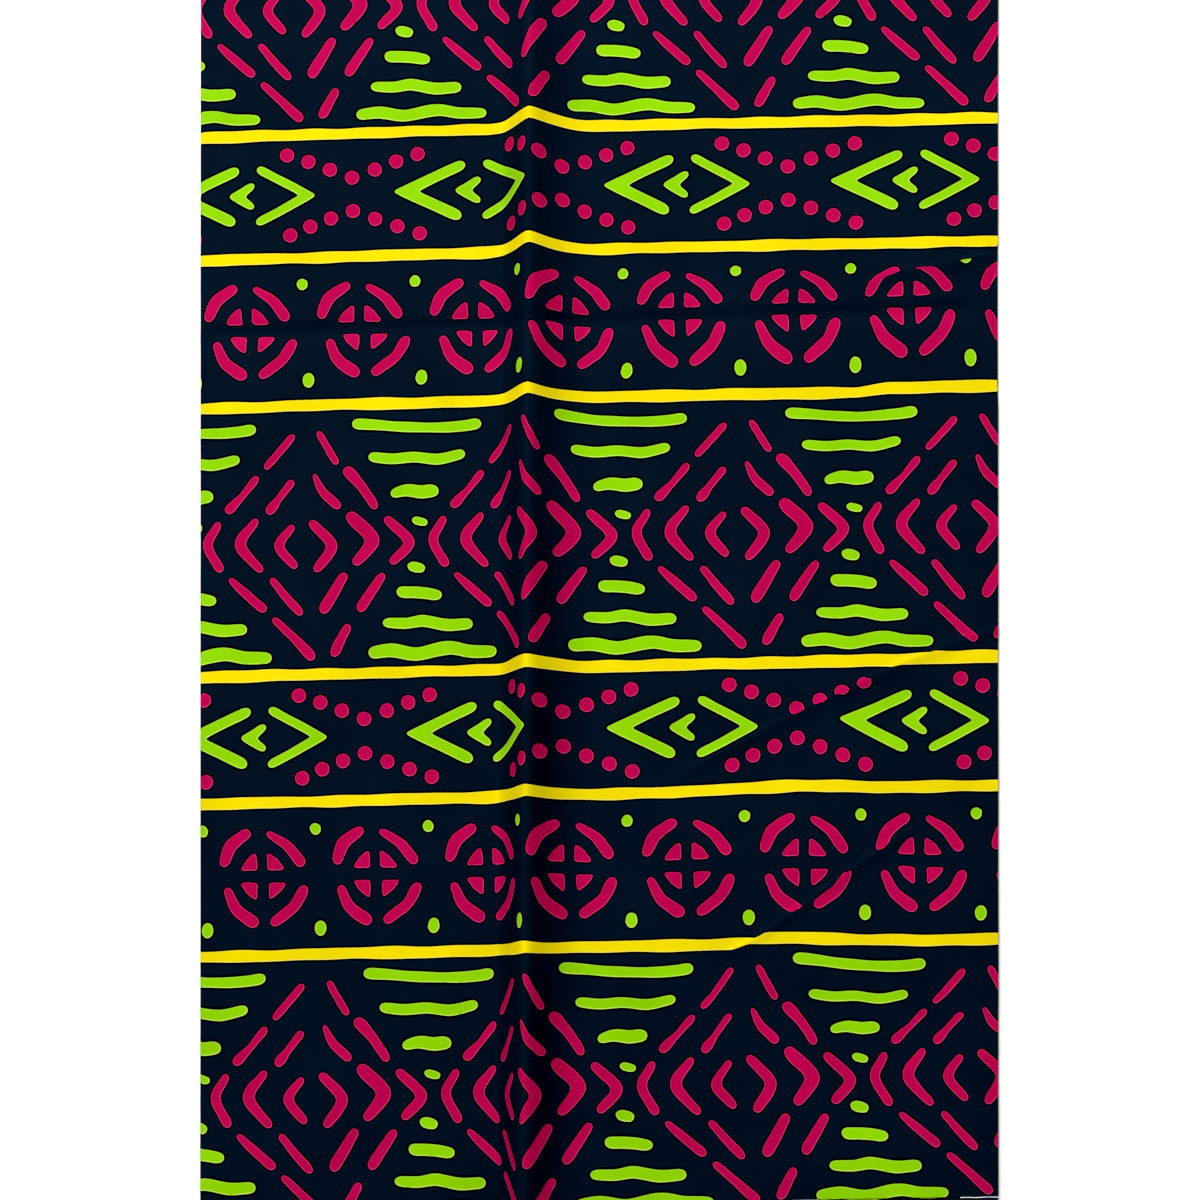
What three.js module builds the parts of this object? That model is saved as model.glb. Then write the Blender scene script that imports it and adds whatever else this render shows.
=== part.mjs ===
// A two-yard length of printed cotton cloth, folded in four and laid flat.
// Millimetres, +Z up. +Y runs along the folded panel, from its cut ends to its far fold.
// The origin is under the middle of the panel, on the surface that it lies on.
import * as THREE from "three";

// Outline of the folded panel
const PANEL_LENGTH = 915; // half of a two-yard cut
const HALF_WIDTH_NEAR = 286; // at the cut ends: a quarter of a 46-inch width, a little drawn in
const HALF_WIDTH_FAR = 296.5; // at the far fold, where the layers lie a little spread
const CUT_END_SKEW = 9; // the right corner of the cut ends lies this much farther back
const UNDER_ENDS_SHOW = 5; // how far the under layers' cut ends reach past the top layer's

// Thickness of the stack
const WALL = 1.4; // the top layer
const LAYER_GAP = 0.3; // between the top layer and the layers below it
const STACK = 6.5; // all four layers, where they lie flat

// The storage crease that stands up along the panel
const RIDGE = {
  share: 0.4125, // its crest's place across the panel, from the left fold
  nearHeight: 30,
  farHeight: 19,
  steepWidth: 19, // the flank on the left
  gentleWidth: 50, // the flank on the right
  steepPower: 1.2, // how early a flank eases out towards its foot
  gentlePower: 2.3,
  crestRadius: 6,
};

// The crease across the panel, and the small tucks: guide lines that the rows of points follow.
// lift is the height of the fold's lip, or the depth of a trough where it is negative.
const FOLD_LINES = [
  {
    name: "lower tuck",
    lift: 1.6,
    from: 80,
    to: 235,
    line: [
      { x: -300, y: -292 },
      { x: 70, y: -280 },
      { x: 110, y: -262 },
      { x: 197, y: -200 },
      { x: 240, y: -172 },
      { x: 300, y: -158 },
    ],
    offsets: [-11, 0, 3, 12],
    fillBelow: 4,
  },
  {
    name: "long tuck",
    lift: 1.6,
    from: 55,
    to: 310,
    line: [
      { x: -300, y: -150 },
      { x: 66, y: -138 },
      { x: 142, y: -98 },
      { x: 223, y: -60 },
      { x: 300, y: -31 },
    ],
    offsets: [-11, 0, 3, 12],
    fillBelow: 3,
  },
  {
    name: "cross crease",
    lift: -1.8,
    from: -297,
    to: 284,
    line: [
      { x: -300, y: 183 },
      { x: 300, y: 198 },
    ],
    offsets: [-13, -4, 4, 13],
    fillBelow: 6,
  },
  {
    name: "short tuck",
    lift: 1.5,
    from: 190,
    to: 310,
    line: [
      { x: -300, y: 213 },
      { x: 190, y: 222 },
      { x: 222, y: 228.5 },
      { x: 268, y: 237 },
      { x: 300, y: 243 },
    ],
    offsets: [-11, 0, 3, 12],
    fillBelow: 0,
  },
];
const FILL_ABOVE_LAST_LINE = 4; // rows between the last fold line and the far fold
const LIP_BELOW = 6; // half width of a tuck's soft side
const LIP_ABOVE = 2.2; // half width of its sharp side
const TROUGH_HALF_WIDTH = 9;
const TUCK_END_LENGTH = 22; // over which a tuck dies out

// Columns of points: close together over the ridge, wide apart on the flat
const RIDGE_COLUMNS = [-21, -17, -13, -9, -5.5, -2.5, 0, 2.5, 6, 11, 17, 24, 32, 42, 53];
const COLUMNS_LEFT = 8;
const COLUMNS_RIGHT = 11;

// Where the top layer's selvedge is pulled in below the short tuck, and the layer under it shows
const SELVEDGE_NICK = { depth: 6, farY: 241, nearY: 120 };

// Edge sections, a row for each ring of points. out is the distance past the edge, drop the
// distance below it, and through the share of the wall's thickness that the ring has crossed.
// At a fold the top layer is the upper half of the roll, and the under layers are the rest.
const TOP_EDGE_RINGS = [
  { cutOut: 0.18, cutThrough: 0.12, foldOut: 1.0, foldDrop: 0.35 },
  { cutOut: 0.3, cutThrough: 0.35, foldOut: 1.75, foldDrop: 1.3 },
  { cutOut: 0.32, cutThrough: 0.5, foldOut: 1.8, foldDrop: 3.0 },
  { cutOut: 0.3, cutThrough: 0.65, foldOut: 0.45, foldDrop: 3.0 },
  { cutOut: 0.18, cutThrough: 0.88, foldOut: 0.35, foldDrop: 1.75 },
];
const UNDER_EDGE_RINGS = [
  { cutOut: 0.2, cutDrop: 0.15, foldOut: 0.6, foldDrop: 0.4 },
  { cutOut: 0.3, cutDrop: 1.2, foldOut: 0.85, foldDrop: 1.2 },
  { cutOut: -1.9, cutDrop: 1.5, foldOut: 0.9, foldDrop: 1.6 },
  { cutOut: -1.2, cutDrop: 1.8, foldOut: 2.0, foldDrop: 1.95 },
  { cutOut: -1.1, cutDrop: 2.8, foldOut: 2.7, foldDrop: 2.7 },
  { cutOut: -2.2, cutDrop: 3.1, foldOut: 2.8, foldDrop: 3.2 },
  { cutOut: -0.4, cutDrop: 3.4, foldOut: 2.5, foldDrop: 3.8 },
];
const UNDER_FOOT_RINGS = [
  { z: 0.5, cutOut: -0.3, foldOut: 2.1 },
  { z: 0, cutOut: -0.6, foldOut: 1.5 },
];
const ROLL_OUT = 1.8; // how far a roll stands out past the flat layer
const ROLL_INSET = 0.9; // how far the under layers' flat edge lies inside the rolls

// The flat rectangle in the middle of the underside
const REST_HALF_WIDTH = 240;
const REST_HALF_LENGTH = 400;

const { lerp, smoothstep } = THREE.MathUtils;

function halfWidth(y) {
  return lerp(HALF_WIDTH_NEAR, HALF_WIDTH_FAR, y / PANEL_LENGTH + 0.5);
}

function crestX(y) {
  return halfWidth(y) * (2 * RIDGE.share - 1);
}

function alongLine(line, x) {
  const i = Math.max(1, line.findIndex((point) => point.x >= x));
  const [a, b] = [line[i - 1], line[i]];
  return lerp(a.y, b.y, THREE.MathUtils.clamp((x - a.x) / (b.x - a.x), 0, 1));
}

// Height of the standing crease above the flat
function ridgeHeight(x, y) {
  const d = x - crestX(y);
  const width = d < 0 ? RIDGE.steepWidth : RIDGE.gentleWidth;
  const power = d < 0 ? RIDGE.steepPower : RIDGE.gentlePower;
  const rounded = Math.hypot(d, RIDGE.crestRadius) - RIDGE.crestRadius;
  const foot = Math.hypot(width, RIDGE.crestRadius) - RIDGE.crestRadius;
  const crest = lerp(RIDGE.nearHeight, RIDGE.farHeight, y / PANEL_LENGTH + 0.5);
  return crest * Math.pow(Math.max(0, 1 - rounded / foot), power);
}

// Height of one fold line's lip, or depth of its trough
function lineHeight(fold, x, y) {
  const d = y - alongLine(fold.line, x);
  const ends =
    smoothstep(x, fold.from, fold.from + TUCK_END_LENGTH) *
    (1 - smoothstep(x, fold.to - TUCK_END_LENGTH, fold.to));
  const lip = d < 0 ? LIP_BELOW : LIP_ABOVE;
  const half = fold.lift < 0 ? TROUGH_HALF_WIDTH : lip;
  return fold.lift * ends * Math.exp(-((d / half) ** 2));
}

function topHeight(x, y) {
  return FOLD_LINES.reduce(
    (z, fold) => z + lineHeight(fold, x, y),
    STACK + ridgeHeight(x, y),
  );
}

// The point at a depth below the top surface, measured square to it
function layerPoint(x, y, depth) {
  const step = 0.5;
  const normal = new THREE.Vector3(
    (topHeight(x - step, y) - topHeight(x + step, y)) / (2 * step),
    (topHeight(x, y - step) - topHeight(x, y + step)) / (2 * step),
    1,
  ).normalize();
  return new THREE.Vector3(x, y, topHeight(x, y)).addScaledVector(normal, -depth);
}

function layerGrid(plan, depth) {
  return plan.map((row) => row.map(({ x, y }) => layerPoint(x, y, depth)));
}

// The x of each column at one y, between a left and a right edge
function columnsAt(y, left, right) {
  const crest = crestX(y);
  const first = crest + RIDGE_COLUMNS[0];
  const last = crest + RIDGE_COLUMNS.at(-1);
  const columns = [];
  for (let i = 0; i < COLUMNS_LEFT; i++) columns.push(lerp(left, first, i / COLUMNS_LEFT));
  for (const offset of RIDGE_COLUMNS) columns.push(crest + offset);
  for (let i = 1; i <= COLUMNS_RIGHT; i++) columns.push(lerp(last, right, i / COLUMNS_RIGHT));
  return columns;
}

// The y of each row at one x, between a near and a far edge
function rowsAt(x, near, far) {
  const rows = [near];
  for (const fold of FOLD_LINES) {
    const line = alongLine(fold.line, x);
    const below = rows.at(-1);
    const firstY = line + fold.offsets[0];
    for (let i = 1; i <= fold.fillBelow; i++)
      rows.push(lerp(below, firstY, i / (fold.fillBelow + 1)));
    for (const offset of fold.offsets) rows.push(line + offset);
  }
  const last = rows.at(-1);
  for (let i = 1; i <= FILL_ABOVE_LAST_LINE; i++)
    rows.push(lerp(last, far, i / (FILL_ABOVE_LAST_LINE + 1)));
  rows.push(far);
  return rows;
}

// The under layers' cut ends, a little askew
function cutEndY(x) {
  return lerp(0, CUT_END_SKEW, x / halfWidth(0) / 2 + 0.5) - PANEL_LENGTH / 2;
}

// Plan positions of a layer's grid: grid[row][column]
function planGrid(edges) {
  const rowCount = rowsAt(0, -1, 1).length;
  const middle = columnsAt(0, edges.left(0), edges.right(0));
  const grid = [];
  for (let row = 0; row < rowCount; row++) {
    grid.push(
      middle.map((startX, column) => {
        let x = startX;
        let y = 0;
        for (let pass = 0; pass < 3; pass++) {
          y = rowsAt(x, edges.near(x), edges.far(x))[row];
          x = columnsAt(y, edges.left(y), edges.right(y))[column];
        }
        return { x, y };
      }),
    );
  }
  return grid;
}

// The grid's boundary, anticlockwise from the near left corner, with its outward direction.
// cut is 1 along the cut ends and the selvedges, and 0 along the two folds.
function boundaryOf(rowCount, columnCount) {
  const lastRow = rowCount - 1;
  const lastColumn = columnCount - 1;
  const loop = [];
  for (let c = 0; c < lastColumn; c++) loop.push({ row: 0, column: c });
  for (let r = 0; r < lastRow; r++) loop.push({ row: r, column: lastColumn });
  for (let c = lastColumn; c > 0; c--) loop.push({ row: lastRow, column: c });
  for (let r = lastRow; r > 0; r--) loop.push({ row: r, column: 0 });
  for (const place of loop) {
    const near = place.row === 0;
    const far = place.row === lastRow;
    const left = place.column === 0;
    const right = place.column === lastColumn;
    place.out = new THREE.Vector3(right - left, far - near, 0).normalize();
    place.cut = near ? 1 : right / (right + left + far);
  }
  return loop;
}

// Collects points and faces of one closed surface
class Shell {
  positions = [];
  index = [];

  addPoint(point) {
    this.positions.push(point.x, point.y, point.z);
    return this.positions.length / 3 - 1;
  }

  // A grid of points, facing up, or down when reversed
  addGrid(grid, reversed) {
    const ids = grid.map((row) => row.map((point) => this.addPoint(point)));
    for (let r = 0; r + 1 < ids.length; r++)
      for (let c = 0; c + 1 < ids[r].length; c++) {
        const [a, b, d, e] = [ids[r][c], ids[r][c + 1], ids[r + 1][c + 1], ids[r + 1][c]];
        if (reversed) this.index.push(a, d, b, a, e, d);
        else this.index.push(a, b, d, a, d, e);
      }
    return ids;
  }

  // Joins two closed loops of the same length, the upper one first
  joinLoops(upper, lower) {
    upper.forEach((a, i) => {
      const next = (i + 1) % upper.length;
      this.index.push(a, lower[i], lower[next], a, lower[next], upper[next]);
    });
  }

  mesh(name, material) {
    const geometry = new THREE.BufferGeometry();
    geometry.setAttribute("position", new THREE.Float32BufferAttribute(this.positions, 3));
    geometry.setIndex(this.index);
    geometry.computeVertexNormals();
    const mesh = new THREE.Mesh(geometry, material);
    mesh.name = name;
    return mesh;
  }
}

// Adds a ring of points below the last ring, and returns its ids
function addRing(shell, upper, points) {
  const lower = points.map((point) => shell.addPoint(point));
  shell.joinLoops(upper, lower);
  return lower;
}

// The top layer: one wall of cloth that carries the creases, rolls over at the left fold and
// the far fold, and ends in a selvedge on the right and a cut end in front
function makeTopLayer(material) {
  const nick = (y) =>
    SELVEDGE_NICK.depth *
    smoothstep(y, SELVEDGE_NICK.nearY, SELVEDGE_NICK.farY - 8) *
    (1 - smoothstep(y, SELVEDGE_NICK.farY, SELVEDGE_NICK.farY + 6));
  const plan = planGrid({
    left: (y) => ROLL_OUT - halfWidth(y),
    right: (y) => halfWidth(y) - nick(y),
    near: (x) => cutEndY(x) + UNDER_ENDS_SHOW,
    far: () => PANEL_LENGTH / 2 - ROLL_OUT,
  });
  const shell = new Shell();
  const outer = shell.addGrid(layerGrid(plan, 0), false);
  const inner = shell.addGrid(layerGrid(plan, WALL), true);
  const loop = boundaryOf(plan.length, plan[0].length);
  let upper = loop.map(({ row, column }) => outer[row][column]);
  for (const ring of TOP_EDGE_RINGS) {
    const points = loop.map((place) => {
      const { x, y } = plan[place.row][place.column];
      const point = layerPoint(x, y, WALL * place.cut * ring.cutThrough);
      point.addScaledVector(place.out, lerp(ring.foldOut, ring.cutOut, place.cut));
      point.z -= lerp(ring.foldDrop, 0, place.cut);
      return point;
    });
    upper = addRing(shell, upper, points);
  }
  shell.joinLoops(
    upper,
    loop.map(({ row, column }) => inner[row][column]),
  );
  return shell.mesh("top_layer", material);
}

// The three layers below, as one solid: its top follows the top layer, its edges are stepped
// where the layers' ends lie on each other, and its underside is flat
function makeUnderLayers(material) {
  const depth = WALL + LAYER_GAP;
  const plan = planGrid({
    left: (y) => ROLL_OUT + ROLL_INSET - halfWidth(y),
    right: (y) => halfWidth(y) - 0.2,
    near: (x) => cutEndY(x) + 0.3,
    far: () => PANEL_LENGTH / 2 - ROLL_OUT - ROLL_INSET,
  });
  const shell = new Shell();
  const top = shell.addGrid(layerGrid(plan, depth), false);
  const loop = boundaryOf(plan.length, plan[0].length);
  const ringPoints = (ring, setHeight) =>
    loop.map((place) => {
      const { x, y } = plan[place.row][place.column];
      const point = layerPoint(x, y, depth);
      point.addScaledVector(place.out, lerp(ring.foldOut, ring.cutOut, place.cut));
      setHeight(point, place);
      return point;
    });
  let upper = loop.map(({ row, column }) => top[row][column]);
  for (const ring of UNDER_EDGE_RINGS) {
    const points = ringPoints(ring, (point, place) => {
      point.z -= lerp(ring.foldDrop, ring.cutDrop, place.cut);
    });
    upper = addRing(shell, upper, points);
  }
  let foot = [];
  for (const ring of UNDER_FOOT_RINGS) {
    foot = ringPoints(ring, (point) => point.setZ(ring.z));
    upper = addRing(shell, upper, foot);
  }
  addUnderside(shell, upper, foot);
  return shell.mesh("under_layers", material);
}

// The flat underside: one large rectangle, and a strip from its corners to the foot's outline
function addUnderside(shell, footIds, foot) {
  const corners = [
    new THREE.Vector3(-REST_HALF_WIDTH, -REST_HALF_LENGTH, 0),
    new THREE.Vector3(REST_HALF_WIDTH, -REST_HALF_LENGTH, 0),
    new THREE.Vector3(REST_HALF_WIDTH, REST_HALF_LENGTH, 0),
    new THREE.Vector3(-REST_HALF_WIDTH, REST_HALF_LENGTH, 0),
  ];
  const cornerIds = corners.map((point) => shell.addPoint(point));
  const [nearLeft, nearRight, farRight, farLeft] = cornerIds;
  const cornerFor = ({ x, y }) => {
    if (y < 0) return x < 0 ? nearLeft : nearRight;
    return x < 0 ? farLeft : farRight;
  };
  foot.forEach((point, i) => {
    const next = (i + 1) % foot.length;
    const corner = cornerFor(point);
    const nextCorner = cornerFor(foot[next]);
    shell.index.push(footIds[i], corner, footIds[next]);
    if (nextCorner !== corner) shell.index.push(footIds[next], corner, nextCorner);
  });
  shell.index.push(nearLeft, farRight, nearRight, nearLeft, farLeft, farRight);
}

const printedCotton = new THREE.MeshStandardMaterial({
  color: 0x03121f,
  roughness: 0.72,
  metalness: 0,
});
const shadedCotton = new THREE.MeshStandardMaterial({
  color: 0x020d18,
  roughness: 0.8,
  metalness: 0,
});

const cloth = new THREE.Group();
cloth.add(makeTopLayer(printedCotton));
cloth.add(makeUnderLayers(shadedCotton));

// The rolls and the cut ends reach out unevenly, so the part is centred on its own box
const middle = new THREE.Box3().setFromObject(cloth, true).getCenter(new THREE.Vector3());
cloth.position.set(-middle.x, -middle.y, 0);

export default cloth;
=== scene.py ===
"""A two-yard length of printed cotton cloth, folded in four and laid flat, with its stage."""

import math
import random

import bpy
import numpy as np
from bpy.props import FloatProperty, FloatVectorProperty, IntProperty, PointerProperty
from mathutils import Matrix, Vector
from mathutils.geometry import delaunay_2d_cdt
from mathutils.kdtree import KDTree


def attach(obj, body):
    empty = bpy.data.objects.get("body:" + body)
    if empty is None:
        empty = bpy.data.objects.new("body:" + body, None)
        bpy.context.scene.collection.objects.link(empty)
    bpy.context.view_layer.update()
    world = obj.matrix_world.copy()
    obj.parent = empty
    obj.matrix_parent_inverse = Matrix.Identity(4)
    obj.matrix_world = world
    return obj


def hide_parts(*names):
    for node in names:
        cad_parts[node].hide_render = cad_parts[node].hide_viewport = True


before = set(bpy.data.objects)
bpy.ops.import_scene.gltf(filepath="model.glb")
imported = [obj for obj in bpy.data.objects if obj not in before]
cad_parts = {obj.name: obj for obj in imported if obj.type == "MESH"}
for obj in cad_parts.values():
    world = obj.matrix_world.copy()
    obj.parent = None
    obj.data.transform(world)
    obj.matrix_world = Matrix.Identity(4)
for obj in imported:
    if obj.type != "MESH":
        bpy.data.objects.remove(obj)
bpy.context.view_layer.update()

bl_info = {
    "name": "Folded printed cotton cloth",
    "version": (1, 0, 0),
    "blender": (4, 5, 0),
    "location": "3D Viewport > Sidebar > Printed Cloth",
    "description": "Builds a folded length of printed cotton cloth around its solids",
    "category": "Object",
}

MM = 0.001

# Outline of the folded panel, in millimetres, as in the solids
PANEL_LENGTH = 915.0
HALF_WIDTH_NEAR = 286.0
HALF_WIDTH_FAR = 296.5
CUT_END_SKEW = 9.0
UNDER_ENDS_SHOW = 5.0
CENTRE = (-0.596, -0.155)  # moves the panel onto the middle of its own box
STACK = 6.5  # height of the four layers where they lie flat
UNDER_DEPTH = 1.7  # from the top layer's face down to the layers under it

# The storage crease that stands up along the panel
RIDGE_SHARE = 0.4125  # its crest's place across the panel
CREST_LEAN_NEAR, CREST_LEAN_FAR = -3.0, 1.2
RIDGE_NEAR, RIDGE_FAR = 30.0, 19.0
RIDGE_LEFT, RIDGE_RIGHT = 21.5, 50.0
RIDGE_LEFT_POWER, RIDGE_RIGHT_POWER = 1.5, 2.3
CREST_RADIUS = 6.0
STEEP_FROM, STEEP_TO = -46, 64  # along the cloth from the crest, with room to spare
CREST_TOP, CREST_TOP_ROWS = 8, 7.8  # the rounded top, where points lie closest

# Rolls at the two folds: a quarter of an ellipse, and its length along the cloth
ROLL_OUT, ROLL_DROP, ROLL_PATH = 1.8, 3.0, 3.85
ROLL_INSET = 0.9  # how far the layers below stay back from the folds

# The crease across the panel, and three small tucks. hides is the width of print that a
# tuck takes in, at places across the panel.
FOLD_LINES = {
    "lower tuck": dict(
        lift=1.6,
        ends=(80, 235),
        line=((-300, -292), (70, -280), (110, -262), (197, -200), (240, -172), (300, -158)),
        hides=((80, 0), (95, 4.4), (150, 4.0), (200, 2.0), (235, 0)),
    ),
    "long tuck": dict(
        lift=1.6,
        ends=(55, 310),
        line=((-300, -150), (66, -138), (142, -98), (223, -60), (300, -31)),
        hides=((55, 0), (90, 1.5), (142, 3.7), (176, 3.5), (200, 1.8), (260, 1.2), (310, 1)),
    ),
    "cross crease": dict(
        lift=-2.5, ends=(-297, 284), line=((-300, 179), (300, 200)), hides=()
    ),
    "short tuck": dict(
        lift=1.5,
        ends=(190, 310),
        line=((-300, 205), (190, 216), (202, 221), (222, 227.8), (268, 236.2), (300, 242)),
        hides=((190, 0), (212, 4.4), (255, 6.4), (310, 6.4)),
    ),
}
LIP_BELOW, LIP_ABOVE, TROUGH_HALF_WIDTH = 6.0, 2.2, 6.5
TUCK_END_LENGTH = 22.0
TUCK_HOLDS, TUCK_REACH = 10.0, 160.0  # below a tuck, where its pull is whole and where it ends
STEEPEST_PULL = 0.82  # the most that a tuck draws the cloth along, for each millimetre below it

# The right edge is drawn in below the short tuck, and the cut edges hang down a little
NICK_DEPTH, NICK_FAR, NICK_NEAR = 6.0, 241.0, 120.0
EDGE_DROOP, EDGE_DROOP_WIDTH = 0.6, 6.0
EDGE_BULGE = 0.15  # the top layer's edge is rounded by this much

# The print's repeat, and where it lies on the cloth: s runs across from the crest, t along
REPEAT_ACROSS = 168.3
REPEAT_ALONG = 400.2
FIRST_LINE_T = 335.0  # the first yellow line's place along the crest
CREST_P, CREST_P_PER_T, CREST_P_TURN = 51.0, 0.0192, 0.00003  # where the crest cuts the print
LEFT_SHRINK = 0.978  # the print is a little narrower left of the ridge
SQUEEZE_REACH = 60.0
SLOPE_RIGHT, SLOPE_LEFT_NEAR, SLOPE_LEFT_FAR = 0.021, 0.021, 0.033
CREST_SHIFT_NEAR, CREST_SHIFT_FAR = 3.5, 7.0  # the print rises this much at the crest
CREST_SHIFT_LEFT, CREST_SHIFT_RIGHT = 42.0, 62.0

# How far the cloth is drawn along from its even place: below the short tuck at places
# across, then a share of the way from the crest, and all across, at places along
PULL = ((50, 0), (85, 4.2), (120, 4.5), (200, 6.5), (285, 4.9), (400, 4.5))
PULL_T, PULL_LONG = 194.0, 30.0
RIGHT_RISE = ((-330, 0.018), (-300, 0), (-20, 0), (10, 0.008), (30, 0.011), (90, 0.009), (120, 0))
RISE = ((-62, 0), (-45, 1.8), (0, 1.5), (25, 0))

# How far it is drawn to the right, at places along, growing with the way from the crest, and
# four smaller shifts with the places between which each fades in or out
RIGHT_SHIFT = (
    (-457, 10), (-440, 9), (-400, 6), (-370, 3), (-340, 1), (-280, 2), (-210, 3.8),
    (-110, 2.5), (30, 1.5), (150, 0),
)
RIGHT_SHIFT_WIDE = 200.0
LEFT_SHIFT, LEFT_SHIFT_T, LEFT_SHIFT_LONG = 3.6, 186.0, 26.0
LEFT_S_FADES, LEFT_T_FADES = (-75, -20), (182, 191)
CREST_DRAWN, CREST_DRAWN_S, CREST_DRAWN_WIDE, CREST_T_FADES = 3.2, 20.0, 70.0, (135, 165)
CORNER_SHIFT, CORNER_S, CORNER_WIDE, CORNER_T_FADES = -3.0, 80.0, 150.0, (-300, -270)
CIRCLES_SHIFT, CIRCLES_T, CIRCLES_LONG, CIRCLES_S_FADES = 2.9, -212.0, 28.0, (-20, 60)

# Bands of one repeat, as distances below its first line
LINES_AT = (0.0, 92.4, 202.6)
DIAMONDS_AT, CIRCLES_AT, LOZENGES_AT = 45.3, 145.6, 305.0
CIRCLES_RIGHT, LOZENGES_RIGHT = 2.0, -2.0  # from their even places across
ROWS, COLUMNS = range(-1, 3), range(-3, 4)  # the repeats that reach the cloth
REACH_T, REACH_S = 470, (-270, 380)  # marks wholly past these places don't touch it

# The marks of each band, charted in millimetres from the motif's centre.
# A stroke is (ink, widths at its points, points), a dot (ink, half width, half height, centre)
# and a patch (ink, corners).
LIME, CRIMSON, YELLOW = "lime", "crimson", "yellow"
DIAMOND_STROKES = (
    (LIME, (6.8, 7.8, 7.8), ((-5, 19), (-46.5, -0.5), (-8.5, -18.5))),
    (LIME, (5, 6.4, 5.2), ((7.5, 8), (-4.5, 0), (7, -7.5))),
    (LIME, (6, 5.6, 6), ((14, 20), (50, 1), (13, -19))),
)
DIAMOND_DOTS = tuple(
    (CRIMSON, 5.2, 5.2, place)
    for place in (
        (34, 31), (50, 26), (66, 20), (82.5, 14), (99.5, 20), (115.5, 26), (131.5, 31.5),
        (36, -29), (51, -22.5), (66.5, -16.5), (83, -11), (99.5, -17), (116, -22.5), (132.5, -28),
    )
)
CIRCLE_STROKES = (
    (CRIMSON, (7.5, 8.5, 7), ((-28.5, 10.5), (-23, 22), (-10.5, 31))),
    (CRIMSON, (5, 7, 8), ((6.5, 30.5), (19.2, 22.2), (28, 10.8))),
    (CRIMSON, (6, 7.5, 8.5), ((-25.6, -10.8), (-18.2, -23.8), (-5.2, -33))),
    (CRIMSON, (8, 7.5, 7.5), ((30.3, -10), (24.5, -21.5), (11, -32.3))),
)
CIRCLE_PATCHES = (
    (CRIMSON, ((-4.6, 4.8), (-5, 17), (-11.5, 12), (-16.5, 4.8))),
    (CRIMSON, ((3.6, 5), (15.8, 5.2), (10.5, 12.5), (4, 17))),
    (CRIMSON, ((-4.4, -4.8), (-16.4, -5), (-11, -12), (-4.2, -17))),
    (CRIMSON, ((5, -4.8), (6, -16.2), (13, -11), (17, -4.8))),
)
CIRCLE_DOTS = (
    (LIME, 3.9, 4.2, (41.2, 34.5)),
    (LIME, 4.2, 5.4, (45, -37)),
)
LOZENGE_STROKES = (
    # strokes above the row of chevrons
    (CRIMSON, (7, 4.1, 5.5), ((-55, 26), (-44.5, 36.5), (-35, 48.5))),
    (CRIMSON, (7, 4.4, 5.5), ((-24.5, 25.5), (-16, 36), (-8.5, 45.5))),
    (CRIMSON, (5, 5), ((-26.5, 57.5), (-7.5, 79.5))),
    (CRIMSON, (4.5, 5), ((12.5, 82), (25, 61))),
    (CRIMSON, (3.2, 6, 6.5), ((9, 51), (15, 39), (25.5, 29))),
    (CRIMSON, (8.5, 6.5, 6), ((34.5, 53.5), (44, 43), (53.5, 28.5))),
    # the row of chevrons
    (CRIMSON, (5.5, 6.5, 6.5), ((-63.5, 14.5), (-71, -0.5), (-62.5, -18.5))),
    (CRIMSON, (5.5, 7.7, 6), ((-35.5, 17), (-46.5, 0), (-32.5, -19))),
    (CRIMSON, (5, 6.8, 6), ((-8.5, 12.5), (-17.5, -1), (-7, -16))),
    (CRIMSON, (6.5, 7.7, 6.5), ((7.5, 15), (21, -1), (10.5, -18.5))),
    (CRIMSON, (9, 9.8, 7.2), ((36.5, 20), (51, 3.5), (40, -13))),
    (CRIMSON, (6.5, 7.5, 6.5), ((63.5, 18), (78.5, 1.5), (67.5, -12.5))),
    # strokes below it
    (CRIMSON, (4.5, 6, 6.5), ((-54, -27.5), (-42.5, -38), (-30.5, -48.5))),
    (CRIMSON, (4.8, 5.5, 6), ((-23, -27.5), (-13.5, -39.5), (-3, -51))),
    (CRIMSON, (4.8, 5.5, 7), ((-21.5, -57), (-10, -67.5), (5, -82))),
    (CRIMSON, (6.5, 8), ((30, -24.5), (15.5, -48.5))),
    (CRIMSON, (5.8, 7.5), ((58.5, -24.5), (43, -47.5))),
    (CRIMSON, (5.8, 7), ((32.5, -62.5), (23, -79.5))),
    # the hourglass of bars beside it
    (LIME, (7.5, 7.2, 6.6, 6.6, 6.8, 7.4, 8),
     ((41, 89), (56, 88.2), (71, 87), (92, 86.2), (109, 86.2), (122, 87.3), (130, 88.8))),
    (LIME, (7, 7, 7, 7.5, 7), ((52.5, 64.5), (68, 63), (84, 64.5), (101, 62.5), (118, 66.5))),
    (LIME, (7, 8, 9, 9), ((69, 38), (78, 40), (88, 38.5), (97, 39.5))),
    (LIME, (5.5, 5.5), ((84, 17.8), (90.5, 16.2))),
    (LIME, (7.5, 7), ((81.5, -17), (87.5, -18.5))),
    (LIME, (8, 8, 7.5), ((73.5, -36.5), (87, -36.8), (99.5, -38.8))),
    (LIME, (6.5, 7.5, 8, 8, 8), ((62, -59), (77, -59.5), (89, -57.5), (107, -61), (122, -60))),
    (LIME, (7.5, 8.5, 8, 8.5, 8, 7.5, 7),
     ((52, -80), (66, -78.5), (84, -81), (103, -77.5), (112, -77), (124, -79.5), (141, -79.5))),
)
CHART_SLOPE, CHART_LEAN = 0.0235, 0.0143  # how far the cloth was askew when it was charted

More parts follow.
